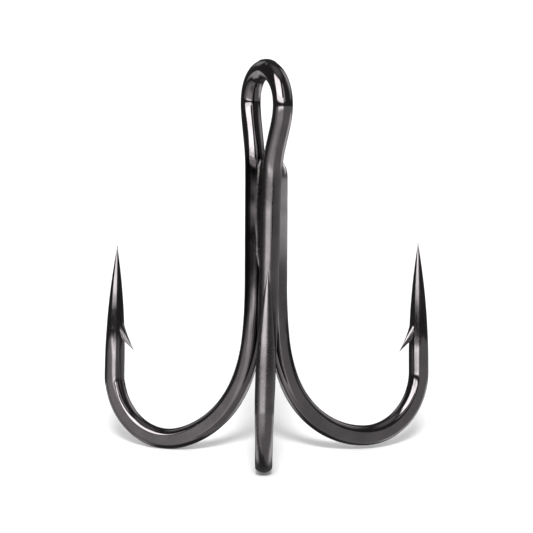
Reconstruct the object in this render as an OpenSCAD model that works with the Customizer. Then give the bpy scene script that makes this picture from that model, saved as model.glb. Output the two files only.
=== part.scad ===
// Treble hook: a double hook bent from one wire, a single hook laid into its groove, and the braze between them.
// +Z runs up the shank to the line eye. The origin is the centre of the eye.
// The single hook points along +Y and the double hook's two points lie 120 degrees to each side of it.

/* [Wire] */
// Diameter of the hook wire
wire_d = 2.5; // [2.3:0.05:2.6]
// Distance from the hook's axis to the middle of each shank
shank_offset = 1.62; // [1.55:0.01:1.7]

/* [Line eye] */
// Radius of the eye's round top, to the middle of the wire
eye_r = 4.05; // [3.6:0.05:4.5]
// Depth below the eye's centre where its sides turn inwards
eye_side = 1.3; // [1.2:0.05:1.6]
// Half the distance between the limbs below the eye
limb_x = 1.65; // [1.6:0.05:1.8]
// Depth of the bend in the limbs
limb_depth = 7.2; // [7:0.1:8]
// Depth where both limbs run straight down beside each other
bundle_depth = 13; // [12:0.5:15]

/* [Bends] */
// Depth below the eye's centre where the shanks begin to curve outwards
flare_depth = 22.9; // [22.8:0.1:24]
// Radius of the slow curve where each shank leaves the bundle
sweep_r = 60; // [55:1:65]
// Angle turned by the slow curve
sweep_angle = 6.5; // [5:0.1:8]
// Radius of the curve at the foot of the shank
flare_r = 19.7; // [18:0.1:21]
// Angle turned by the curve at the foot of the shank
flare_angle = 15; // [12:0.1:18]
// Radius of the bottom of the bend
heel_r = 13.3; // [12.5:0.1:14]
// Angle turned by the bottom of the bend
heel_angle = 59.9; // [56:0.1:63]
// Radius of the outer side of the bend
throat_r = 7.6; // [7:0.1:8.2]
// Angle by which each point leans in towards the shank
point_lean = 1.1; // [0:0.1:4]

/* [Points] */
// Length of the straight spear from the bend to its tip
spear_len = 16.4; // [16:0.1:18]
// Length over which the spear narrows to its point
taper_len = 15; // [12:0.1:15.5]
// Radius of the blunt end of each point
tip_r = 0.06; // [0.04:0.01:0.1]

/* [Barbs] */
// Distance from the tip to the root of the barb's cut
barb_root = 11; // [10:0.1:11.5]
// Distance from the tip to the free end of the barb
barb_end = 13.1; // [12.8:0.1:13.4]
// Distance that the barb stands out from the wire
barb_rise = 1.25; // [0.8:0.05:1.4]
// Depth of the barb's cut into the wire
barb_cut = 0.6; // [0.4:0.05:0.8]

/* [Forging] */
// Thickness of the wire at the flattened bottom of the bend
forged_t = 2.12; // [1.9:0.01:2.25]
// Thickness of the wire where the flats meet the spear
forged_upper_t = 2.36; // [2.3:0.01:2.5]

/* [Single hook] */
// Depth below the eye's centre of the top of the single hook
single_top = 7.3; // [7:0.1:10]
// Height of the single hook's domed end
dome_h = 2.2; // [1:0.1:3]

/* [Braze] */
// Depth below the eye's centre where the braze begins
braze_top = 8.4; // [8:0.1:11]
// Depth below the eye's centre where the braze ends
braze_bottom = 22.5; // [20:0.1:22.7]
// Distance from the hook's axis to the outside of each braze seam
braze_reach = 1.5; // [1.2:0.05:1.7]

/* [Hidden] */
$fn = 64;
wire_r = wire_d / 2;
steel = [0.16, 0.15, 0.16];
brass = [0.45, 0.41, 0.36];
// Directions of the three hooks, seen from above
single_dir = 90;
double_dirs = [-30, 210];
// Lengths of wire stop this far short of each other, and a hair-thin collar bonds them
slit = 0.004;
collar_h = 0.04;
collar_lip = 0.004;
// Depth where the limbs end and the two hooks of the double hook begin
hook_top = bundle_depth + 4;
// Sideways shift of the limbs at their bend, and the radii of the corners on the way down
limb_y = -0.45;
eye_side_r = 5.5;
limb_r = 8;
foot_r = 22;
// Directions of the three grooves between the shanks, and half the angle that each braze seam covers
seam_dirs = [30, 150, 270];
seam_spread = 24;
// Steps along the tapered point, and the length of its last facet
taper_step = 1.5;
tip_facet = 0.7;
// Length of the barb's back beyond its root, its bond into the wire and the rake of its notch
barb_back = 1.2;
barb_bond = 0.1;
notch_rake = 1;
barb_blank = 8;
// Depths where the forging dies begin to close, reach their upper gap and reach their lower gap
die_open = 20;
die_upper = 34;
die_lower = 40;
die_clear = 1;
die_size = 60;
// Facets of the single hook's dome, and the angle that the last one reaches
dome_steps = 6;
dome_reach = 84;
// Angle that the two curves at the foot of the shank and the bottom of the bend leave to the outer side
throat_angle = 180 + point_lean - sweep_angle - flare_angle - heel_angle;

// A corner of a wire's centreline from a to c by way of b, rounded to radius r
function corner_turn(a, b, c) = acos((b - a) * (c - b) / (norm(b - a) * norm(c - b)));
function corner_leg(a, b, c, r) = r * tan(corner_turn(a, b, c) / 2);

// A collar round the wire at the origin, square to +Z
module collar() {
    translate([0, 0, -collar_h / 2])
        cylinder(h = collar_h, r = wire_r + collar_lip);
}

// A bend that starts at the origin, runs along +Z and turns towards +X
module bend(r, turn) {
    play = slit / r * 180 / PI;
    translate([r, 0, 0])
        rotate([90, 0, 0])
            rotate_extrude(angle = turn - 2 * play, start = 180 - turn + play)
                translate([r, 0])
                    circle(d = wire_d);
}

// Places its children at point, with their +Z along the line from a to b
module facing(a, b, point) {
    run = b - a;
    translate(point)
        rotate([0, acos(run.z / norm(run)), atan2(run.y, run.x)])
            children();
}

// A wire bent round the corner at b, between a and c
module elbow(a, b, c, r) {
    along = (b - a) / norm(b - a);
    across = cross(along, c - b);
    out = across / norm(across);
    inward = cross(out, along);
    start = b - along * corner_leg(a, b, c, r);
    multmatrix([
        [inward.x, out.x, along.x, start.x],
        [inward.y, out.y, along.y, start.y],
        [inward.z, out.z, along.z, start.z],
        [0, 0, 0, 1]
    ])
        bend(r, corner_turn(a, b, c));
}

// A wire along a line of points, with each inner corner rounded to its radius
module bent_wire(points, radii) {
    last = len(points) - 1;
    for (i = [1:last - 1])
        elbow(points[i - 1], points[i], points[i + 1], radii[i]);
    for (i = [1:last]) {
        a = points[i - 1];
        b = points[i];
        along = (b - a) / norm(b - a);
        near = i == 1 ? 0 : corner_leg(points[i - 2], a, b, radii[i - 1]);
        far = i == last ? 0 : corner_leg(a, b, points[i + 1], radii[i]);
        length = norm(b - a) - near - far;
        facing(a, b, a + along * near)
            collar();
        if (length > collar_h)
            facing(a, b, a + along * (near + slit))
                cylinder(h = length - 2 * slit, d = wire_d);
        if (i < last && length > collar_h)
            facing(a, b, b - along * far)
                collar();
    }
}

// The next modules build one hook standing in the XZ plane with its point on the +X side.
// Each one starts at the origin, runs along +Z and carries its children on at its far end.
module run_straight(length) {
    cylinder(h = length - slit, d = wire_d);
    translate([0, 0, length]) {
        collar();
        children();
    }
}

module run_bend(r, turn) {
    bend(r, turn);
    translate([r, 0, 0])
        rotate([0, turn, 0])
            translate([-r, 0, 0]) {
                collar();
                children();
            }
}

// The tapered point with its barb, which lies on the +X side, facing the shank
module spear() {
    plain_len = spear_len - taper_len;
    difference() {
        rotate_extrude()
            polygon([
                [0, slit],
                [wire_r, slit],
                for (s = [0:taper_step:taper_len - taper_step])
                    [ogive_r(taper_len - s), plain_len + s],
                [ogive_r(tip_facet), spear_len - tip_facet],
                [tip_r, spear_len],
                [0, spear_len]
            ]);
        barb_notch();
    }
    barb();
}

function ogive_r(s) = sqrt(pow(ogive_arc(), 2) - pow(taper_len - s, 2)) + wire_r - ogive_arc();
function ogive_arc() = (pow(wire_r, 2) + pow(taper_len, 2)) / (2 * wire_r);

module barb_notch() {
    root = [wire_r - barb_cut, spear_len - barb_root];
    lip = [wire_r + barb_rise, spear_len - barb_end];
    rotate([90, 0, 0])
        linear_extrude(height = wire_d, center = true)
            polygon([
                root,
                lip,
                [lip.x, lip.y - notch_rake],
                [wire_r, lip.y + notch_rake]
            ]);
}

module barb() {
    root = [wire_r - barb_cut, spear_len - barb_root];
    lip = [wire_r + barb_rise, spear_len - barb_end];
    start = [wire_r - barb_bond, root.y + barb_back];
    slope = atan2(lip.x - start.x, start.y - lip.y);
    intersection() {
        rotate([90, 0, 0])
            linear_extrude(height = wire_d, center = true)
                polygon([root, lip, start, [root.x, start.y]]);
        translate([lip.x, 0, lip.y])
            rotate([0, -slope, 0])
                translate([-wire_r, 0, -barb_blank / 2])
                    cylinder(h = barb_blank, r = wire_r);
    }
}

// One shank from the given depth down, its bend and its point
module hook(top) {
    intersection() {
        translate([shank_offset, 0, -top])
            mirror([0, 0, 1])
                run_straight(flare_depth - top)
                    run_bend(sweep_r, sweep_angle)
                        run_bend(flare_r, flare_angle)
                            run_bend(heel_r, heel_angle)
                                run_bend(throat_r, throat_angle)
                                    spear();
        forging_slab();
    }
}

// The space between the forging dies
module forging_slab() {
    half = die_profile();
    last = len(half) - 1;
    rotate([90, 0, 90])
        linear_extrude(height = die_size, center = true)
            polygon([
                for (p = half) [-p.x / 2, -p.y],
                for (i = [last:-1:0]) [half[i].x / 2, -half[i].y]
            ]);
}

function die_profile() = [
    [wire_d + die_clear, 0],
    [wire_d + die_clear, die_open],
    [forged_upper_t, die_upper],
    [forged_t, die_lower],
    [forged_t, die_size]
];

// Half of the eye with the limb below it, down to the shank in direction dir
module limb(dir) {
    side = cos(dir) > 0 ? 1 : -1;
    foot = [shank_offset * cos(dir), shank_offset * sin(dir), -bundle_depth];
    bent_wire(
        [
            [0, 0, eye_r],
            [side * eye_r, 0, eye_r],
            [side * eye_r, 0, -eye_side],
            [side * limb_x, limb_y, -limb_depth],
            foot,
            [foot.x, foot.y, -hook_top]
        ],
        [0, eye_r, eye_side_r, limb_r, foot_r, 0]
    );
}

module double_hook() {
    color(steel)
        for (dir = double_dirs) {
            limb(dir);
            rotate([0, 0, dir]) {
                hook(hook_top);
                translate([shank_offset, 0, -hook_top])
                    collar();
            }
        }
}

// Half an ellipse of revolution that closes the upper end of a shank
module dome() {
    rotate_extrude()
        polygon([
            [0, -slit],
            for (i = [0:dome_steps])
                [wire_r * cos(dome_reach * i / dome_steps), dome_h * sin(90 * i / dome_steps)],
            [0, dome_h]
        ]);
}

module single_hook() {
    color(steel)
        rotate([0, 0, single_dir]) {
            hook(single_top + dome_h);
            translate([shank_offset, 0, -single_top - dome_h])
                dome();
        }
}

// Filler metal in the three grooves and the core between the shanks
module braze_joint() {
    color(brass)
        difference() {
            translate([0, 0, -braze_bottom])
                linear_extrude(height = braze_bottom - braze_top)
                    polygon([
                        for (seam = seam_dirs, edge = [-seam_spread, seam_spread])
                            braze_reach * [cos(seam + edge), sin(seam + edge)]
                    ]);
            double_hook();
            single_hook();
        }
}

double_hook();
single_hook();
braze_joint();
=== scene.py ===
"""A black nickel treble hook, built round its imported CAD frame.

Centrelines and sections are worked out in mm, in the CAD's own frame, and scaled by MM when a mesh is made.
"""

import math

import bmesh
import bpy
import numpy as np
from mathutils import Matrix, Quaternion, Vector, noise


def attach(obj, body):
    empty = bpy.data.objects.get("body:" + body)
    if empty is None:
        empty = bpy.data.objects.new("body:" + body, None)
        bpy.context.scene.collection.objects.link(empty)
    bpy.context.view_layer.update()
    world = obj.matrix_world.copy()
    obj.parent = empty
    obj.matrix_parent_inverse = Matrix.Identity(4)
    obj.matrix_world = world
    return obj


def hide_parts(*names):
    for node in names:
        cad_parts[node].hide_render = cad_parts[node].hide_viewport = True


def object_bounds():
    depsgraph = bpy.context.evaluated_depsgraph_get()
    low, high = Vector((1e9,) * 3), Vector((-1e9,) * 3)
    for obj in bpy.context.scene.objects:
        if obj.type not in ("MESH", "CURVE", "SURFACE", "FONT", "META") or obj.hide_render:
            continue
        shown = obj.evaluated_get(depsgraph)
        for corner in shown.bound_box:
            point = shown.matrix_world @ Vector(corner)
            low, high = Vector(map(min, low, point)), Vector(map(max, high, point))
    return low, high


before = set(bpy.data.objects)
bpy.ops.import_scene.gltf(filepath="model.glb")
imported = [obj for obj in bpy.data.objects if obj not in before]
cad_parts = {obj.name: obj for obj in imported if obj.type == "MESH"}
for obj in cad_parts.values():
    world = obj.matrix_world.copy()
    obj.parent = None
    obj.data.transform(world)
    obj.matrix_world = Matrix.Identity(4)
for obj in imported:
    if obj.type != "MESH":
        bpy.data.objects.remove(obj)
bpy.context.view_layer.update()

MM = 0.001

# ---------------------------------------------------------------- driving dimensions, mm
WIRE_R = 1.25
SHANK_OFFSET = 1.62
SINGLE_DIR = 90.0
DOUBLE_DIRS = (-30.0, 210.0)

# The eye: the radius of its round top and the depth its straight sides reach, with the rounding below them
# and at the knees. The foot is where a limb joins its shank: its depth, its rounding and the straight run
# below it.
EYE_R = 4.05
EYE_SIDE = 1.3
EYE_SIDE_R = 5.5
LIMB_R = 7.0
FOOT_DEPTH = 13.0
FOOT_R = 40.0
FOOT_LEN = 2.5
# Where each limb of the eye turns down beside the other: x, y and depth
KNEES = {-30.0: (1.73, -0.12, 7.1), 210.0: (-1.46, -0.78, 6.7)}
# How many points to each side, and how many times over, the double hook's small kinks are rubbed out
SMOOTH_REACH = 4
SMOOTH_ROUNDS = 3

# The bend: the depth where it starts, and its curves in order as radius and turn in degrees. The last one
# turns until the point leans in by POINT_LEAN degrees.
FLARE_DEPTH = 22.9
SWEEP = (60.0, 6.5)
FLARE = (19.7, 15.0)
HEEL = (13.3, 59.9)
THROAT_R = 7.6
POINT_LEAN = 1.1
# How far each hook strays from the pattern: heel radius, heel turn in degrees, lean in degrees
STRAY = {90.0: (-0.64, 6.6, -0.3), -30.0: (0.0, 0.0, 0.0), 210.0: (0.64, -6.6, 0.3)}
# How far each hook bows sideways, and how far its shank stands towards the first hook of the double,
# at shares of the way from the foot of the limb to the tip
SHARES = (0.0, 0.10, 0.18, 0.32, 0.45, 0.60, 0.75, 1.0)
STRAIGHT = (0.0,) * len(SHARES)
SIDE_BOW = {90.0: STRAIGHT, -30.0: (0.50, 0.38, 0.26, 0.04, -0.14, -0.20, -0.12, 0.25), 210.0: STRAIGHT}
FORWARD = {90.0: STRAIGHT, -30.0: STRAIGHT, 210.0: (-0.02, 0.12, 0.20, 0.10, 0.0, 0.0, 0.0, 0.0)}

# The spear, its taper and its tip. The stretch where the barb is cut has closer points, and BARB_AREA_END is
# how far from the tip it ends. The spear's direction is taken from SPEAR_SIGHT points back.
SPEAR_LEN = 16.4
TAPER_LEN = 15.0
TIP_R = 0.05
BARB_AREA_END = 8.5
BARB_AREA_STEP = 0.12
SPEAR_SIGHT = 60

# The barb is cut from its root by way of its knee to its end, and lifted from its start on. These four are
# distances from the tip.
BARB_START = 10.0
BARB_ROOT = 10.9
BARB_KNEE = 11.9
BARB_END = 13.0
# How far outside the wire the cut is at the end, how deep it is at the root, and how far and how sharply
# the chip lifts
BARB_RISE = 1.25
BARB_CUT = 0.5
BARB_LIFT = 1.3
BARB_LIFT_POWER = 1.25
# Where the chip's sections are (from, to and step) and where it is cut off towards the tip, both as
# distances from the tip, and how far it is sunk so that it joins the spear
CHIP_STATIONS = (8.6, 14.6, 0.1)
CHIP_TOP = 8.8
CHIP_SINK = 0.03
# How much further from its tip each hook's barb was cut
BARB_STRAY = {90.0: 0.4, -30.0: 0.0, 210.0: -0.1}
# Width of the barb as a share of the wire's, at these distances from the tip
BARB_TAPER = ((9.0, 10.0, 10.6, 11.4, 12.2, 13.05), (0.90, 0.86, 0.66, 0.42, 0.26, 0.08))

# Distance between the forged flats at the bottom of the bend and above it, and the depths over which they
# close in to the upper distance and then to the lower one
FORGED_T = 2.12
FORGED_UPPER_T = 2.36
UPPER_FORGE = (22, 34)
LOWER_FORGE = (34, 40.5)
# How much wider than the wire the flats start, how near to it each one has to be before it shapes it, and
# how much the wire spreads as it is squeezed
FORGE_CLEAR = 0.3
FORGE_NEAR = 0.12
FORGE_SPREAD = 0.16

# The single hook's upper end: the depth of its top, and the height of its dome and the steps it is made in
SINGLE_TOP = 7.3
DOME_H = 2.2
DOME_STEPS = 14

# Depths near which the filler ends, the depths over which it thins out there, and by how much. BRAZE_INSET
# draws the whole of its skin in, and BRAZE_STEP is the step of the grid that the skin is found on.
BRAZE_TOP = 7.6
BRAZE_BOTTOM = 22.5
TOP_FADE = (BRAZE_TOP - 2.4, BRAZE_TOP - 0.6)
BOTTOM_FADE = (BRAZE_BOTTOM - 1.0, BRAZE_BOTTOM + 0.6)
TOP_THINNING = 0.3
BOTTOM_THINNING = 0.6
BRAZE_INSET = 0.03
BRAZE_STEP = 0.11
# The stretch of a wire that the filler is fitted to: its z, and how far from the Z axis it may stand, which
# leaves out the spear
SHANK_Z = (-26.0, -3.5)
SHANK_REACH = 6
# How deep the filler sinks into the wires, and the x, y and z of the space it is looked for in
BRAZE_SINK = 0.14
BRAZE_SPACE = ((-3.0, 3.0), (-2.6, 3.2), (-BRAZE_BOTTOM - 1.6, -4.6))
# How far the filler's flat webs stand out past the line between two wires, at depths down the shank, and how
# softly they round into the wires
WEB_DEPTHS = (5.2, 6.4, 8.0, 10.5, 15.0, 19.0, 21.5, 23.0)
WEB_REACH = (-0.9, -0.1, 0.40, 0.55, 0.60, 0.45, 0.0, -0.6)
WEB_ROUND = 0.12
# How much less the webs beside the single hook stand out above its top
SINGLE_WEB_DROP = 1.3
# Ripples down the webs: where their noise is read, how many there are to the mm, and their height
RIPPLES = (((0, 3.1), 0.45, 0.05), ((5, 0), 1.7, 0.012))

# Sides of the wire's section, and the slow waves in its surface: their size as a share of the radius, and
# how many there are to the mm
RING = 96
WAVE = 0.006
WAVE_RATE = 0.55
# How far the pointed cap on each end of a tube reaches, as a share of its radius
END_CAP = 0.6


# ---------------------------------------------------------------- centrelines
def unit(v):
    return v / np.linalg.norm(v)


def arc_points(start, heading, inward, radius, turn, step):
    """Points after start along an arc that leaves start along heading and turns towards inward."""
    count = max(3, int(math.ceil(radius * math.radians(turn) / step)))
    centre = start + inward * radius
    angles = np.radians(turn) * np.arange(1, count + 1) / count
    return [centre - inward * radius * math.cos(a) + heading * radius * math.sin(a) for a in angles]


def line_points(start, end, step):
    count = max(1, int(math.ceil(np.linalg.norm(end - start) / step)))
    return [start + (end - start) * i / count for i in range(1, count + 1)]


def rounded_line(corners, radii, step):
    """A line of points through corners, with each inner corner rounded to its radius."""
    out = [np.array(corners[0], float)]
    for i in range(1, len(corners) - 1):
        a, b, c = (np.array(p, float) for p in corners[i - 1 : i + 2])
        into, away = unit(b - a), unit(c - b)
        turn = math.degrees(math.acos(float(np.dot(into, away))))
        leg = radii[i] * math.tan(math.radians(turn) / 2)
        inward = unit(away - into * np.dot(into, away))
        start = b - into * leg
        if np.linalg.norm(start - out[-1]) > 1e-6:
            out += line_points(out[-1], start, step)
        out += arc_points(start, into, inward, radii[i], turn, step)
    out += line_points(out[-1], np.array(corners[-1], float), step)
    return out


def outward(direction):
    return np.array([math.cos(math.radians(direction)), math.sin(math.radians(direction)), 0.0])


def sideways(direction):
    out_dir = outward(direction)
    return np.array([-out_dir[1], out_dir[0], 0.0])


def bow(direction, share):
    """Shift of a hook's wire at a share of the way from the foot of the eye's limbs to the tip."""
    ahead = outward(DOUBLE_DIRS[0])
    aside = sideways(direction) * float(np.interp(share, SHARES, SIDE_BOW[direction]))
    return aside + ahead * float(np.interp(share, SHARES, FORWARD[direction]))


def smoothed(points, reach, rounds):
    """Points with their small kinks rubbed out, and with both ends kept."""
    line = np.array(points)
    for _ in range(rounds):
        total = line.copy()
        for i in range(1, reach + 1):
            before = np.concatenate([np.repeat(line[:1], i, 0), line[:-i]])
            after = np.concatenate([line[i:], np.repeat(line[-1:], i, 0)])
            total += before + after
        mean = total / (2 * reach + 1)
        mean[:reach], mean[-reach:] = line[:reach], line[-reach:]
        line = mean
    return [np.array(p) for p in line]


def hook_points(direction, top, step=0.25):
    """The centreline of one shank, bend and point, from depth top down to the tip."""
    out_dir = outward(direction)
    down = np.array([0.0, 0.0, -1.0])
    heel_r, heel_turn, lean = (a + b for a, b in zip((*HEEL, POINT_LEAN), STRAY[direction]))
    points = [out_dir * SHANK_OFFSET + down * top]
    points += line_points(points[0], out_dir * SHANK_OFFSET + down * FLARE_DEPTH, step * 2)
    throat = (THROAT_R, 180 + lean - SWEEP[1] - FLARE[1] - heel_turn)
    angle = 0.0
    for radius, turn in (SWEEP, FLARE, (heel_r, heel_turn), throat):
        a = math.radians(angle)
        heading = out_dir * math.sin(a) + down * math.cos(a)
        inward = out_dir * math.cos(a) - down * math.sin(a)
        points += arc_points(points[-1], heading, inward, radius, turn, step)
        angle += turn
    a = math.radians(angle)
    heading = out_dir * math.sin(a) + down * math.cos(a)
    barb_area = SPEAR_LEN - BARB_END - 1
    bend_end = points[-1]
    points += line_points(bend_end, bend_end + heading * barb_area, step)
    points += line_points(points[-1], bend_end + heading * (SPEAR_LEN - BARB_AREA_END), BARB_AREA_STEP)
    points += line_points(points[-1], bend_end + heading * SPEAR_LEN, step)
    travelled = travel(points)
    start = max(0.0, FOOT_DEPTH - top)
    whole = travelled[-1] - start
    return [p + bow(direction, min(1.0, max(0.0, (t - start) / whole))) for p, t in zip(points, travelled)]


def travel(points):
    """Distance along the line of points to each of them."""
    return np.cumsum([0.0] + [float(np.linalg.norm(b - a)) for a, b in zip(points, points[1:])])


def limb_points(direction, step=0.2):
    """The centreline from the top of the eye down to the top of one hook of the double hook."""
    side = 1 if outward(direction)[0] > 0 else -1
    knee_x, knee_y, knee_depth = KNEES[direction]
    foot = outward(direction) * SHANK_OFFSET + bow(direction, 0) - np.array([0, 0, FOOT_DEPTH])
    corners = [
        (0, 0, EYE_R),
        (side * EYE_R, 0, EYE_R),
        (side * EYE_R, 0, -EYE_SIDE),
        (knee_x, knee_y, -knee_depth),
        foot,
        foot - np.array([0, 0, FOOT_LEN]),
    ]
    return rounded_line(corners, [0, EYE_R, EYE_SIDE_R, LIMB_R, FOOT_R, 0], step)


def double_points(direction):
    """The whole centreline of one half of the double hook, from the top of its eye to its tip."""
    raw = limb_points(direction) + hook_points(direction, FOOT_DEPTH + FOOT_LEN)[1:]
    spear = int(np.searchsorted(travel(raw), travel(raw)[-1] - SPEAR_LEN))
    return smoothed(raw[:spear], SMOOTH_REACH, SMOOTH_ROUNDS) + raw[spear:]


# ---------------------------------------------------------------- wire sections
def smoothstep(low, high, x):
    """A smooth step of x from 0 at low to 1 at high."""
    t = min(1.0, max(0.0, (x - low) / (high - low)))
    return t * t * (3 - 2 * t)


def ogive_r(from_tip):
    """Radius of the spear at a distance from its tip: an ogive tangent to the wire."""
    arc = (WIRE_R**2 + TAPER_LEN**2) / (2 * WIRE_R)
    if from_tip >= TAPER_LEN:
        return WIRE_R
    return max(TIP_R, math.sqrt(arc**2 - (TAPER_LEN - from_tip) ** 2) + WIRE_R - arc)


def forged_t(depth):
    """Distance between the two forged flats at a depth below the eye."""
    room = 2 * WIRE_R + FORGE_CLEAR - FORGED_UPPER_T
    upper = FORGED_UPPER_T + room * (1 - smoothstep(*UPPER_FORGE, depth))
    return upper + (FORGED_T - FORGED_UPPER_T) * smoothstep(*LOWER_FORGE, depth)


def soft_limit(value, limit, softness=0.035):
    """value held under limit, with a small round edge."""
    size = abs(value)
    limited = -softness * math.log(math.exp(-size / softness) + math.exp(-limit / softness))
    return math.copysign(max(0.0, limited), value)


def wire_mesh(name, points, radii, flats):
    """A closed tube along points. flats holds the direction square to the forged flats at each point."""
    points = [np.array(p) for p in points]
    count = len(points)
    bm = bmesh.new()
    uv = bm.loops.layers.uv.new("along")
    tangents = [unit(points[min(i + 1, count - 1)] - points[max(i - 1, 0)]) for i in range(count)]
    lengths = travel(points)
    side = unit(flats[0] - tangents[0] * np.dot(flats[0], tangents[0]))
    rings = []
    for i, (point, tangent) in enumerate(zip(points, tangents)):
        side = unit(side - tangent * np.dot(side, tangent))
        other = np.cross(tangent, side)
        half_t = forged_t(-point[2]) / 2
        squeeze = 1 + FORGE_SPREAD * max(0.0, 1 - half_t / WIRE_R)
        ring = []
        for k in range(RING):
            angle = 2 * math.pi * k / RING
            offset = (side * math.cos(angle) + other * math.sin(angle)) * radii[i]
            if half_t < WIRE_R + FORGE_NEAR:
                across = float(np.dot(offset, flats[i]))
                offset = (offset - flats[i] * across) * squeeze + flats[i] * soft_limit(across, half_t)
            offset *= 1 + WAVE * noise.noise(Vector((point + offset) * WAVE_RATE)) * min(1.0, radii[i])
            ring.append(bm.verts.new((point + offset) * MM))
        rings.append(ring)
    for i in range(count - 1):
        for k in range(RING):
            n = (k + 1) % RING
            face = bm.faces.new((rings[i][k], rings[i][n], rings[i + 1][n], rings[i + 1][k]))
            coords = ((k, lengths[i]), (k + 1, lengths[i]), (k + 1, lengths[i + 1]), (k, lengths[i + 1]))
            for loop, (turn, length) in zip(face.loops, coords):
                loop[uv].uv = (turn / RING, length / 10)
    for at, way in ((0, -1), (-1, 1)):
        cap = points[at] + way * tangents[at] * radii[at] * END_CAP
        tip = bm.verts.new(cap * MM)
        for k in range(RING):
            bm.faces.new((rings[at][k], rings[at][(k + 1) % RING], tip))
    bmesh.ops.recalc_face_normals(bm, faces=bm.faces)
    return mesh_of(name, bm)


def mesh_of(name, bm):
    """The mesh of a bmesh, which is freed."""
    mesh = bpy.data.meshes.new(name)
    bm.to_mesh(mesh)
    bm.free()
    return mesh


def new_object(name, mesh):
    piece = bpy.data.objects.new(name, mesh)
    bpy.context.scene.collection.objects.link(piece)
    return piece


def tip_radii(points):
    """Radius of the wire at each point, with the ogive over the last stretch before the tip."""
    lengths = travel(points)
    return [ogive_r(float(lengths[-1] - s)) for s in lengths]


def combine(piece, other, operation):
    """Cuts other out of piece, or joins it on, and removes other."""
    step = piece.modifiers.new(operation, "BOOLEAN")
    step.object = other
    step.operation = operation
    step.solver = "EXACT"
    mesh = bpy.data.meshes.new_from_object(piece.evaluated_get(bpy.context.evaluated_depsgraph_get()))
    piece.modifiers.clear()
    piece.data = mesh
    bpy.data.objects.remove(other)


def prism(name, corners, place, half_width):
    """A solid with this side view, placed by place(distance from the tip, distance inwards, sideways)."""
    bm = bmesh.new()
    ends = []
    for y in (-half_width, half_width):
        ends.append([bm.verts.new(place(s, x, y) * MM) for s, x in corners])
    bm.faces.new(ends[0])
    bm.faces.new(ends[1][::-1])
    for i in range(len(corners)):
        n = (i + 1) % len(corners)
        bm.faces.new((ends[0][i], ends[0][n], ends[1][n], ends[1][i]))
    bmesh.ops.recalc_face_normals(bm, faces=bm.faces)
    return new_object(name, mesh_of(name, bm))


def add_barb(piece, points, direction):
    """Cuts a chip from the inner side of the spear and lifts it into a barb."""
    tip = points[-1]
    back = unit(points[-SPEAR_SIGHT] - tip)
    across = unit(sideways(direction) - back * np.dot(sideways(direction), back))
    inward = np.cross(across, back)
    if np.dot(inward, outward(direction)) > 0:
        inward = -inward

    def place(s, x, y):
        return tip + back * (s + BARB_STRAY[direction]) + inward * x + across * y

    root = (BARB_ROOT, WIRE_R - BARB_CUT)
    knee = (BARB_KNEE, WIRE_R)
    lip = (BARB_END, WIRE_R + BARB_RISE)
    notch = [root, knee, lip, (BARB_END + 1, WIRE_R + BARB_RISE), (BARB_KNEE + 0.2, WIRE_R)]
    combine(piece, prism("notch", notch, place, WIRE_R * 2), "DIFFERENCE")
    combine(piece, lifted_chip(tip, back, across, place, direction, (root, knee, lip)), "UNION")


def lifted_chip(tip, back, across, place, direction, edge):
    """The wire's own shape, bent up out of the spear, narrowed towards its end and cut off along edge."""
    root, knee, lip = edge
    stations = np.arange(*CHIP_STATIONS)
    shares = [max(0.0, (s - BARB_START) / (BARB_END - BARB_START)) for s in stations]
    axis = [place(s, BARB_LIFT * share**BARB_LIFT_POWER - CHIP_SINK, 0) for s, share in zip(stations, shares)]
    radii = [ogive_r(float(s + BARB_STRAY[direction])) for s in stations]
    chip = new_object("chip", wire_mesh("chip", axis, radii, [across] * len(axis)))
    for vertex in chip.data.vertices:
        from_tip = np.array(vertex.co) / MM - tip
        aside = float(np.dot(from_tip, across))
        s = float(np.dot(from_tip, back)) - BARB_STRAY[direction]
        vertex.co -= Vector(across * aside * (1 - float(np.interp(s, *BARB_TAPER))) * MM)
    slope = (lip[1] - knee[1]) / (lip[0] - knee[0])
    beyond = (BARB_END + 1, lip[1] + slope)
    above = beyond[1] + 2
    keep = [root, knee, beyond, (beyond[0], above), (CHIP_TOP, above)]
    keep += [(CHIP_TOP, root[1] - 0.3), (BARB_ROOT - 0.3, root[1] - 0.3)]
    combine(chip, prism("keep", keep, place, WIRE_R * 2), "INTERSECT")
    return chip


def double_wire():
    """One wire from the tip of the second hook over the eye to the tip of the first."""
    halves = [double_points(direction) for direction in DOUBLE_DIRS]
    points = halves[1][::-1] + halves[0][1:]
    flats = [sideways(DOUBLE_DIRS[1])] * len(halves[1])
    flats += [sideways(DOUBLE_DIRS[0])] * (len(halves[0]) - 1)
    radii = tip_radii(halves[1])[::-1] + tip_radii(halves[0])[1:]
    piece = new_object("double_hook_wire", wire_mesh("double_hook_wire", points, radii, flats))
    for half, direction in zip(halves, DOUBLE_DIRS):
        add_barb(piece, half, direction)
    return piece


def single_wire():
    """The third hook, with a dome over its upper end."""
    points = hook_points(SINGLE_DIR, SINGLE_TOP + DOME_H)
    radii = tip_radii(points)
    step = math.pi / 2 / DOME_STEPS
    for i in range(1, DOME_STEPS):
        a = step * i
        rise = DOME_H * (math.sin(a) - math.sin(a - step))
        points.insert(0, points[0] + np.array([0, 0, rise]))
        radii.insert(0, WIRE_R * math.cos(a))
    flats = [sideways(SINGLE_DIR)] * len(points)
    piece = new_object("single_hook_wire", wire_mesh("single_hook_wire", points, radii, flats))
    add_barb(piece, points, SINGLE_DIR)
    return piece


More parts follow.
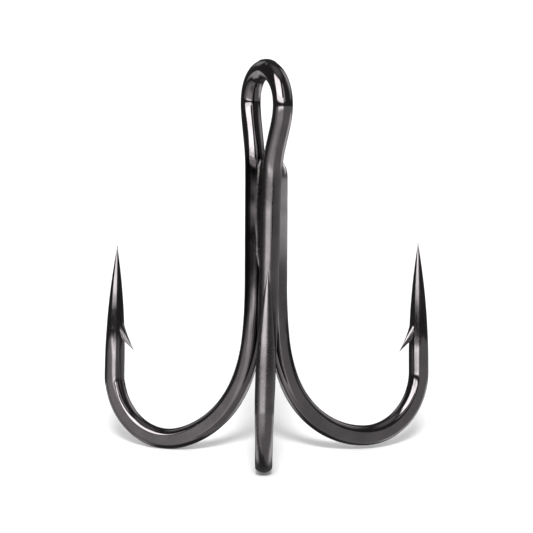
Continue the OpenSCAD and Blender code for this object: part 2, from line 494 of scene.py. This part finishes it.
# ---------------------------------------------------------------- braze
def shank_line(direction):
    """Rows of depth, x and y of one wire, over the stretch where it runs down the shank."""
    if direction == SINGLE_DIR:
        points = hook_points(direction, SINGLE_TOP)
    else:
        points = double_points(direction)
    beside = [p for p in points if SHANK_Z[0] < p[2] < SHANK_Z[1] and np.hypot(p[0], p[1]) < SHANK_REACH]
    return np.array(sorted((-p[2], p[0], p[1]) for p in beside)).T


def spot(depth, line):
    """Where the middle of a wire is at a depth."""
    return np.array([float(np.interp(depth, line[0], line[i])) for i in (1, 2)])


def wire_gap(x, y, depth, line):
    """Distance from each place in a level slice to the surface of a wire that leans a little."""
    at = spot(depth, line)
    lean = spot(depth + 0.5, line) - spot(depth - 0.5, line)
    dx, dy = x - at[0], y - at[1]
    along = (dx * lean[0] + dy * lean[1]) ** 2 / (1 + lean[0] ** 2 + lean[1] ** 2)
    return np.sqrt(np.maximum(dx**2 + dy**2 - along, 0)) - WIRE_R


def web_gap(x, y, depth, lines):
    """Distance from each place to the flat webs that close the three grooves between the wires."""
    reach = float(np.interp(depth, WEB_DEPTHS, WEB_REACH))
    spots = [spot(depth, line) for line in lines]
    middle = sum(spots) / len(spots)
    before_single = SINGLE_WEB_DROP * (1 - smoothstep(SINGLE_TOP, SINGLE_TOP + DOME_H, depth))
    level = np.full(x.shape, -9.0)
    for i, j in ((0, 1), (1, 2), (2, 0)):
        along = (spots[j] - spots[i]) / np.linalg.norm(spots[j] - spots[i])
        across = np.array([along[1], -along[0]])
        across = across if np.dot(spots[i] - middle, across) > 0 else -across
        width = reach - before_single if 2 in (i, j) else reach
        level = np.maximum(level, (x - spots[i][0]) * across[0] + (y - spots[i][1]) * across[1] - width)
    return level


def filler_field(xs, ys, zs):
    """Below zero inside the filler: flat webs rounded into the three wires, less the wires themselves."""
    lines = [shank_line(direction) for direction in (*DOUBLE_DIRS, SINGLE_DIR)]
    x, y = np.meshgrid(xs, ys, indexing="ij")
    field = np.empty((len(xs), len(ys), len(zs)))
    for k, z in enumerate(zs):
        depth = -float(z)
        ripple = sum(noise.noise(Vector((*at, depth * rate))) * height for at, rate, height in RIPPLES)
        gaps = [wire_gap(x, y, depth, line) for line in lines]
        over = max(0.0, (SINGLE_TOP + DOME_H - depth) / DOME_H)
        gaps[2] = np.maximum(gaps[2] + WIRE_R * (1 - math.sqrt(max(0.0, 1 - over**2))), SINGLE_TOP - depth)
        least = np.minimum(np.minimum(gaps[0], gaps[1]), gaps[2])
        shapes = [*gaps, web_gap(x, y, depth, lines) + ripple]
        nearest = np.minimum(least, shapes[3])
        level = nearest - WEB_ROUND * np.log(sum(np.exp((nearest - shape) / WEB_ROUND) for shape in shapes))
        level = level + BRAZE_INSET + TOP_THINNING * (1 - smoothstep(*TOP_FADE, depth))
        level = level + BOTTOM_THINNING * smoothstep(*BOTTOM_FADE, depth)
        field[:, :, k] = np.maximum(level, -BRAZE_SINK - least)
    return field


def net_of(field, xs, ys, zs):
    """A closed skin of quads where field changes sign."""
    inside = field < 0
    shape = tuple(n - 1 for n in field.shape)
    total = np.zeros((*shape, 3))
    crossings = np.zeros(shape)
    corners = [(a, b, c) for a in (0, 1) for b in (0, 1) for c in (0, 1)]

    def corner(grid, c):
        return grid[c[0] : c[0] + shape[0], c[1] : c[1] + shape[1], c[2] : c[2] + shape[2]]

    for a in corners:
        for axis in range(3):
            if a[axis]:
                continue
            b = tuple(v + (i == axis) for i, v in enumerate(a))
            fa, fb = corner(field, a), corner(field, b)
            crossed = corner(inside, a) != corner(inside, b)
            share = np.where(crossed, fa / np.where(crossed, fa - fb, 1), 0)
            for i in range(3):
                total[..., i] += crossed * (a[i] + (share if i == axis else 0))
            crossings += crossed
    cells = np.argwhere(crossings > 0)
    index = -np.ones(shape, int)
    index[tuple(cells.T)] = np.arange(len(cells))
    steps = np.array([xs[1] - xs[0], ys[1] - ys[0], zs[1] - zs[0]])
    local = total[tuple(cells.T)] / crossings[tuple(cells.T)][:, None]
    verts = np.array([xs[0], ys[0], zs[0]]) + (cells + local) * steps
    faces = []
    for axis in range(3):
        u, v = (axis + 1) % 3, (axis + 2) % 3
        ahead = np.roll(inside, -1, axis)
        for at in np.argwhere(inside != ahead):
            if at[axis] >= shape[axis] or at[u] < 1 or at[v] < 1 or at[u] >= shape[u] or at[v] >= shape[v]:
                continue
            quad = []
            for du, dv in ((1, 1), (0, 1), (0, 0), (1, 0)):
                cell = at.copy()
                cell[u] -= du
                cell[v] -= dv
                quad.append(int(index[tuple(cell)]))
            faces.append(quad if inside[tuple(at)] else quad[::-1])
    return verts, faces


def braze():
    """The filler between the three shanks."""
    xs, ys, zs = (np.arange(low, high, BRAZE_STEP) for low, high in BRAZE_SPACE)
    verts, faces = net_of(filler_field(xs, ys, zs), xs, ys, zs)
    mesh = bpy.data.meshes.new("braze_filler")
    mesh.from_pydata((verts * MM).tolist(), [], faces)
    mesh.validate()
    return new_object("braze_filler", mesh)


# ---------------------------------------------------------------- materials
class Graph:
    """A node tree with short ways to add and join nodes."""

    def __init__(self, tree):
        self.tree = tree

    def node(self, kind, inputs=(), **settings):
        node = self.tree.nodes.new(kind)
        for name, value in settings.items():
            setattr(node, name, value)
        for key, value in dict(inputs).items():
            if isinstance(value, bpy.types.NodeSocket):
                self.tree.links.new(value, node.inputs[key])
            else:
                node.inputs[key].default_value = value
        return node

    def math(self, operation, a, b=0.0):
        """The result of an operation on two values or sockets."""
        return self.node("ShaderNodeMath", {0: a, 1: b}, operation=operation).outputs[0]

    def ramp(self, value, low, high, to_low=0.0, to_high=1.0):
        """A smooth step of value from low to high."""
        settings = {"Value": value, "From Min": low, "From Max": high, "To Min": to_low, "To Max": to_high}
        return self.node("ShaderNodeMapRange", settings, interpolation_type="SMOOTHSTEP").outputs[0]

    def noise(self, vector, scale, detail, roughness=0.5):
        """Grey noise with scale features to the unit of vector."""
        settings = {"Vector": vector, "Scale": scale, "Detail": detail, "Roughness": roughness}
        return self.node("ShaderNodeTexNoise", settings).outputs[0]

    def mix(self, share, a, b):
        """The colour a share of the way from a to b."""
        node = self.node("ShaderNodeMix", data_type="RGBA")
        for name, value in (("Factor", share), ("A", a), ("B", b)):
            socket = [s for s in node.inputs if s.name == name and s.enabled][0]
            if isinstance(value, bpy.types.NodeSocket):
                self.tree.links.new(value, socket)
            else:
                socket.default_value = value
        return [s for s in node.outputs if s.enabled][0]


def along_wire(graph):
    """A place made of the turn round the wire and the length along it, so that lines follow the wire."""
    uv = graph.node("ShaderNodeUVMap", uv_map="along").outputs[0]
    parts = graph.node("ShaderNodeSeparateXYZ", {0: uv})
    turn = graph.math("MULTIPLY", parts.outputs[0], 2 * math.pi)
    length = graph.math("MULTIPLY", parts.outputs[1], 0.35)
    around = {0: graph.math("COSINE", turn), 1: graph.math("SINE", turn), 2: length}
    return graph.node("ShaderNodeCombineXYZ", around).outputs[0]


def painted_light_mask(graph, x, z, mottle, side, foot):
    """1 on one side of the shank (-1 or 1 along X), between a ragged top at the braze and a soft foot. This
    is where the painted shade and the painted reflection go.
    """
    ragged = graph.math("ADD", z, graph.math("MULTIPLY", mottle, 4.0))
    mask = graph.math("MULTIPLY", graph.ramp(x, -0.1 * side, 0.5 * side), graph.ramp(ragged, -3.6, -5.6))
    mask = graph.math("MULTIPLY", mask, graph.ramp(z, foot - 4.0, foot + 3.0))
    return graph.math("MULTIPLY", mask, graph.ramp(graph.math("ABSOLUTE", x), 6.0, 4.0))


def satin_finish(graph, x, z):
    """Extra roughness where x is above zero beside the shank, and where x is large, on the front hook."""
    satin = graph.math("MULTIPLY", graph.ramp(z, -3.0, -7.0), graph.ramp(z, -30.0, -24.0))
    satin = graph.math("MULTIPLY", satin, graph.ramp(x, -0.4, 0.4))
    point = graph.math("MULTIPLY", graph.ramp(x, 5.0, 9.0), POINT_SATIN)
    return graph.math("ADD", graph.math("MULTIPLY", satin, SHANK_SATIN), point)


def metal(name, tints, roughness, along_uv, painted_patch):
    """Polished metal under a thin plate.

    tints are its dark and light colours, and roughness its smooth and worn values. With along_uv its fine
    lines follow the wire. The last argument gives the colour, side and foot in mm of a stretch of shank that
    gets painted shade where that colour is dark and a painted reflection where it is light.
    """
    mat = bpy.data.materials.new(name)
    mat.use_nodes = True
    graph = Graph(mat.node_tree)
    shader = mat.node_tree.nodes["Principled BSDF"]
    coords = graph.node("ShaderNodeTexCoord")
    to_mm = {0: coords.outputs["Object"], "Scale": 1 / MM}
    place = graph.node("ShaderNodeVectorMath", to_mm, operation="SCALE").outputs[0]
    lines_at = along_wire(graph) if along_uv else place
    clouds = graph.noise(place, 0.35, 3.0)
    mottle = graph.noise(place, 2.6, 4.0, 0.6)
    draw_lines = graph.noise(lines_at, 17.0, 5.0, 0.7)
    specks = graph.noise(place, 9.0, 3.0, 0.6)
    where = graph.node("ShaderNodeSeparateXYZ", {0: place})
    x, z = where.outputs[0], where.outputs[2]
    tint = graph.mix(graph.ramp(clouds, 0.35, 0.68), (*tints[0], 1), (*tints[1], 1))
    colour, side, foot = painted_patch
    # The patch colour goes over its stretch: painted shade where it is dark, a painted reflection where it is
    # light
    tint = graph.mix(painted_light_mask(graph, x, z, mottle, side, foot), tint, (*colour, 1))
    mat.node_tree.links.new(tint, shader.inputs["Base Color"])
    shader.inputs["Metallic"].default_value = 1.0
    worn = graph.math("MULTIPLY", graph.ramp(mottle, 0.42, 0.7), graph.ramp(draw_lines, 0.35, 0.75))
    rough = graph.math("ADD", graph.ramp(worn, 0.0, 1.0, *roughness), satin_finish(graph, x, z))
    mat.node_tree.links.new(rough, shader.inputs["Roughness"])
    height = graph.math("ADD", graph.math("MULTIPLY", draw_lines, 0.6), graph.math("MULTIPLY", specks, 0.4))
    bump = graph.node("ShaderNodeBump", {"Height": height, "Strength": 0.25, "Distance": BUMP})
    mat.node_tree.links.new(bump.outputs[0], shader.inputs["Normal"])
    return mat


def finish_piece(piece, node, material, crease):
    """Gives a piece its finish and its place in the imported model. Edges over crease degrees stay sharp."""
    piece.data.materials.clear()
    piece.data.materials.append(material)
    piece.data.polygons.foreach_set("use_smooth", [True] * len(piece.data.polygons))
    piece.data.set_sharp_from_angle(angle=math.radians(crease))
    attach(piece, "root")
    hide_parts(node)


# Extra roughness of the shank and of the front hook's point on the +X side, and the height of the surface's
# fine lines in metres
SHANK_SATIN = 0.10
POINT_SATIN = 0.15
BUMP = 0.00001
# Dark and light colours and smooth and worn roughness of the plate on the wire and on the braze
PLATE = ((0.117, 0.108, 0.112), (0.143, 0.131, 0.137))
PLATE_ROUGHNESS = (0.07, 0.19)
BRAZE_PLATE = ((0.060, 0.056, 0.056), (0.10, 0.094, 0.092))
BRAZE_ROUGHNESS = (0.14, 0.34)
# The stretches of shank with painted shade (dark) and a painted reflection (light) in the plate's colour:
# colour, side and foot in mm
# Painted shade: near black on the -X side of the shank, used on the double hook's wire and on the braze
PAINTED_SHADE_PATCH = ((0.022, 0.020, 0.021), -1, -27.0)
# Painted reflection: light grey on the +X side of the single hook's shank
PAINTED_REFLECTION_PATCH = ((0.52, 0.50, 0.505), 1, -18.0)

# The double hook's wire and the braze get the painted shade, the single hook's wire the painted reflection
nickel = metal("black_nickel", PLATE, PLATE_ROUGHNESS, True, PAINTED_SHADE_PATCH)
single_nickel = metal("black_nickel_single", PLATE, PLATE_ROUGHNESS, True, PAINTED_REFLECTION_PATCH)
plated_braze = metal("plated_braze", BRAZE_PLATE, BRAZE_ROUGHNESS, False, PAINTED_SHADE_PATCH)
finish_piece(double_wire(), "double_hook", nickel, 32)
finish_piece(single_wire(), "single_hook", single_nickel, 32)
finish_piece(braze(), "braze_joint", plated_braze, 60)


# ---------------------------------------------------------------- camera
# Angles are in degrees and the camera's distances in metres. The frame's width is at the hook's distance.
CAM_AZIMUTH = 60.0
CAM_ELEVATION = 5.82
CAM_DISTANCE = 0.590
CAM_ROLL = -0.25
LOOK_AT_DEPTH = 0.02056
LOOK_AT_SIDE = 0.00006
FRAME_WIDTH = 0.0663052


def toward_camera(azimuth, elevation):
    """The direction from the hook to something at an azimuth from -Y and an elevation, both in degrees."""
    az, el = math.radians(azimuth), math.radians(elevation)
    return Vector((math.sin(az) * math.cos(el), -math.cos(az) * math.cos(el), math.sin(el)))


def add_camera():
    toward = toward_camera(CAM_AZIMUTH, CAM_ELEVATION)
    right = Vector((math.cos(math.radians(CAM_AZIMUTH)), math.sin(math.radians(CAM_AZIMUTH)), 0))
    data = bpy.data.cameras.new("camera")
    data.lens = data.sensor_width * CAM_DISTANCE / FRAME_WIDTH
    data.clip_start = 0.01
    cam = bpy.data.objects.new("camera", data)
    cam.location = Vector((0, 0, -LOOK_AT_DEPTH)) + right * LOOK_AT_SIDE + toward * CAM_DISTANCE
    turn = (-toward).to_track_quat("-Z", "Y") @ Quaternion((0, 0, 1), math.radians(-CAM_ROLL))
    cam.rotation_euler = turn.to_euler()
    bpy.context.scene.collection.objects.link(cam)
    bpy.context.scene.camera = cam


add_camera()


# ---------------------------------------------------------------- floor and light
# Panels seen only in reflections. Each has its left and right sides and their softness, then its lower edge
# and its upper edge with the softness of each, and its brightness. Angles are in degrees, to the right of
# the camera's side and up.
PANELS = (
    ((-66.0, 150.0, 8.0), (-99.0, 2.0, -4.6, 0.6), 0.48),
    ((-86.0, -50.0, 6.0), (-99.0, 2.0, -4.6, 0.6), 0.50),
    ((-50.0, 7.0, 9.0), (-9.0, 4.0, -4.6, 0.6), 4.6),
    ((-50.0, 7.0, 9.0), (-40.0, 14.0, -4.6, 0.6), 1.0),
    ((-66.0, 8.0, 3.0), (3.0, 1.5, 14.0, 2.0), 6.0),
    ((-66.0, -5.0, 3.0), (14.0, 2.0, 58.0, 4.0), 8.0),
    ((14.0, 28.0, 3.0), (6.0, 3.0, 50.0, 5.0), 1.3),
    ((95.0, 140.0, 8.0), (5.0, 4.0, 45.0, 6.0), 0.6),
    ((105.0, 140.0, 7.0), (-50.0, 6.0, -12.0, 2.0), 1.5),
    ((-140.0, -105.0, 7.0), (-50.0, 6.0, -12.0, 2.0), 1.5),
    ((115.0, 148.0, 6.0), (14.0, 4.0, 50.0, 6.0), 1.0),
    ((-150.0, -125.0, 6.0), (14.0, 4.0, 50.0, 6.0), 0.8),
)
# Strength of the even light on the floor, then the lamp's strength and, in degrees, its height and breadth
DOME = 0.64
SUN_STRENGTH = 5.8
SUN_ELEVATION = 24.0
SUN_SPREAD = 10.0
# The room's ceiling brightens between two heights in degrees, from one strength to another
CEILING = (55.0, 80.0, 0.10, 0.5)


def add_floor():
    """A plain pale floor under the lowest bend."""
    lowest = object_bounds()[0][2]
    bm = bmesh.new()
    bmesh.ops.create_grid(bm, x_segments=8, y_segments=8, size=3.0)
    floor = new_object("floor", mesh_of("floor", bm))
    floor.location.z = lowest
    floor.visible_glossy = False
    mat = bpy.data.materials.new("floor_paper")
    mat.use_nodes = True
    shader = mat.node_tree.nodes["Principled BSDF"]
    shader.inputs["Base Color"].default_value = (0.9, 0.9, 0.9, 1)
    shader.inputs["Roughness"].default_value = 0.9
    floor.data.materials.append(mat)


def between(graph, value, low, low_soft, high, high_soft):
    """1 between two edges, falling smoothly to 0 over each edge's softness."""
    rise = graph.ramp(value, low - low_soft, low + low_soft)
    return graph.math("MULTIPLY", rise, graph.ramp(value, high + high_soft, high - high_soft))


def add_world():
    """White to the camera, an even dome to the floor, and a dark room with soft panels to the metal."""
    world = bpy.data.worlds.new("studio")
    bpy.context.scene.world = world
    world.use_nodes = True
    world.cycles.sampling_method = "NONE"
    graph = Graph(world.node_tree)
    ray = graph.node("ShaderNodeTexCoord").outputs["Generated"]
    turn = {"Vector": ray, "Angle": math.radians(90 - CAM_AZIMUTH)}
    turned = graph.node("ShaderNodeVectorRotate", turn, rotation_type="Z_AXIS")
    parts = graph.node("ShaderNodeSeparateXYZ", {0: turned.outputs[0]})
    azimuth = graph.math("DEGREES", graph.math("ARCTAN2", parts.outputs[1], parts.outputs[0]))
    elevation = graph.math("DEGREES", graph.math("ARCSINE", parts.outputs[2]))
    glow = graph.ramp(elevation, *CEILING)
    for (left, right, soft), heights, strength in PANELS:
        across = between(graph, azimuth, left, soft, right, soft)
        panel = graph.math("MULTIPLY", across, between(graph, elevation, *heights))
        glow = graph.math("ADD", glow, graph.math("MULTIPLY", panel, strength))
    seen = graph.node("ShaderNodeLightPath")
    rooms = []
    for strength in (glow, 1.0, DOME):
        light = {"Color": (1, 1, 1, 1), "Strength": strength}
        rooms.append(graph.node("ShaderNodeBackground", light).outputs[0])
    room, backdrop, dome = rooms
    to_object = {0: seen.outputs["Is Glossy Ray"], 1: dome, 2: room}
    lighting = graph.node("ShaderNodeMixShader", to_object).outputs[0]
    to_camera = {0: seen.outputs["Is Camera Ray"], 1: lighting, 2: backdrop}
    whole = graph.node("ShaderNodeMixShader", to_camera).outputs[0]
    out = [n for n in world.node_tree.nodes if n.type == "OUTPUT_WORLD"][0]
    world.node_tree.links.new(whole, out.inputs["Surface"])


def add_key():
    """A broad low lamp from the camera's side that only throws the soft shadow on the floor."""
    data = bpy.data.lights.new("key", "SUN")
    data.energy = SUN_STRENGTH
    data.angle = math.radians(SUN_SPREAD)
    key = bpy.data.objects.new("key", data)
    toward = toward_camera(CAM_AZIMUTH, SUN_ELEVATION)
    key.location = toward * 0.5
    key.rotation_euler = (-toward).to_track_quat("-Z", "Y").to_euler()
    key.visible_glossy = False
    bpy.context.scene.collection.objects.link(key)


add_floor()
add_world()
add_key()
bpy.context.scene.view_settings.view_transform = "Standard"
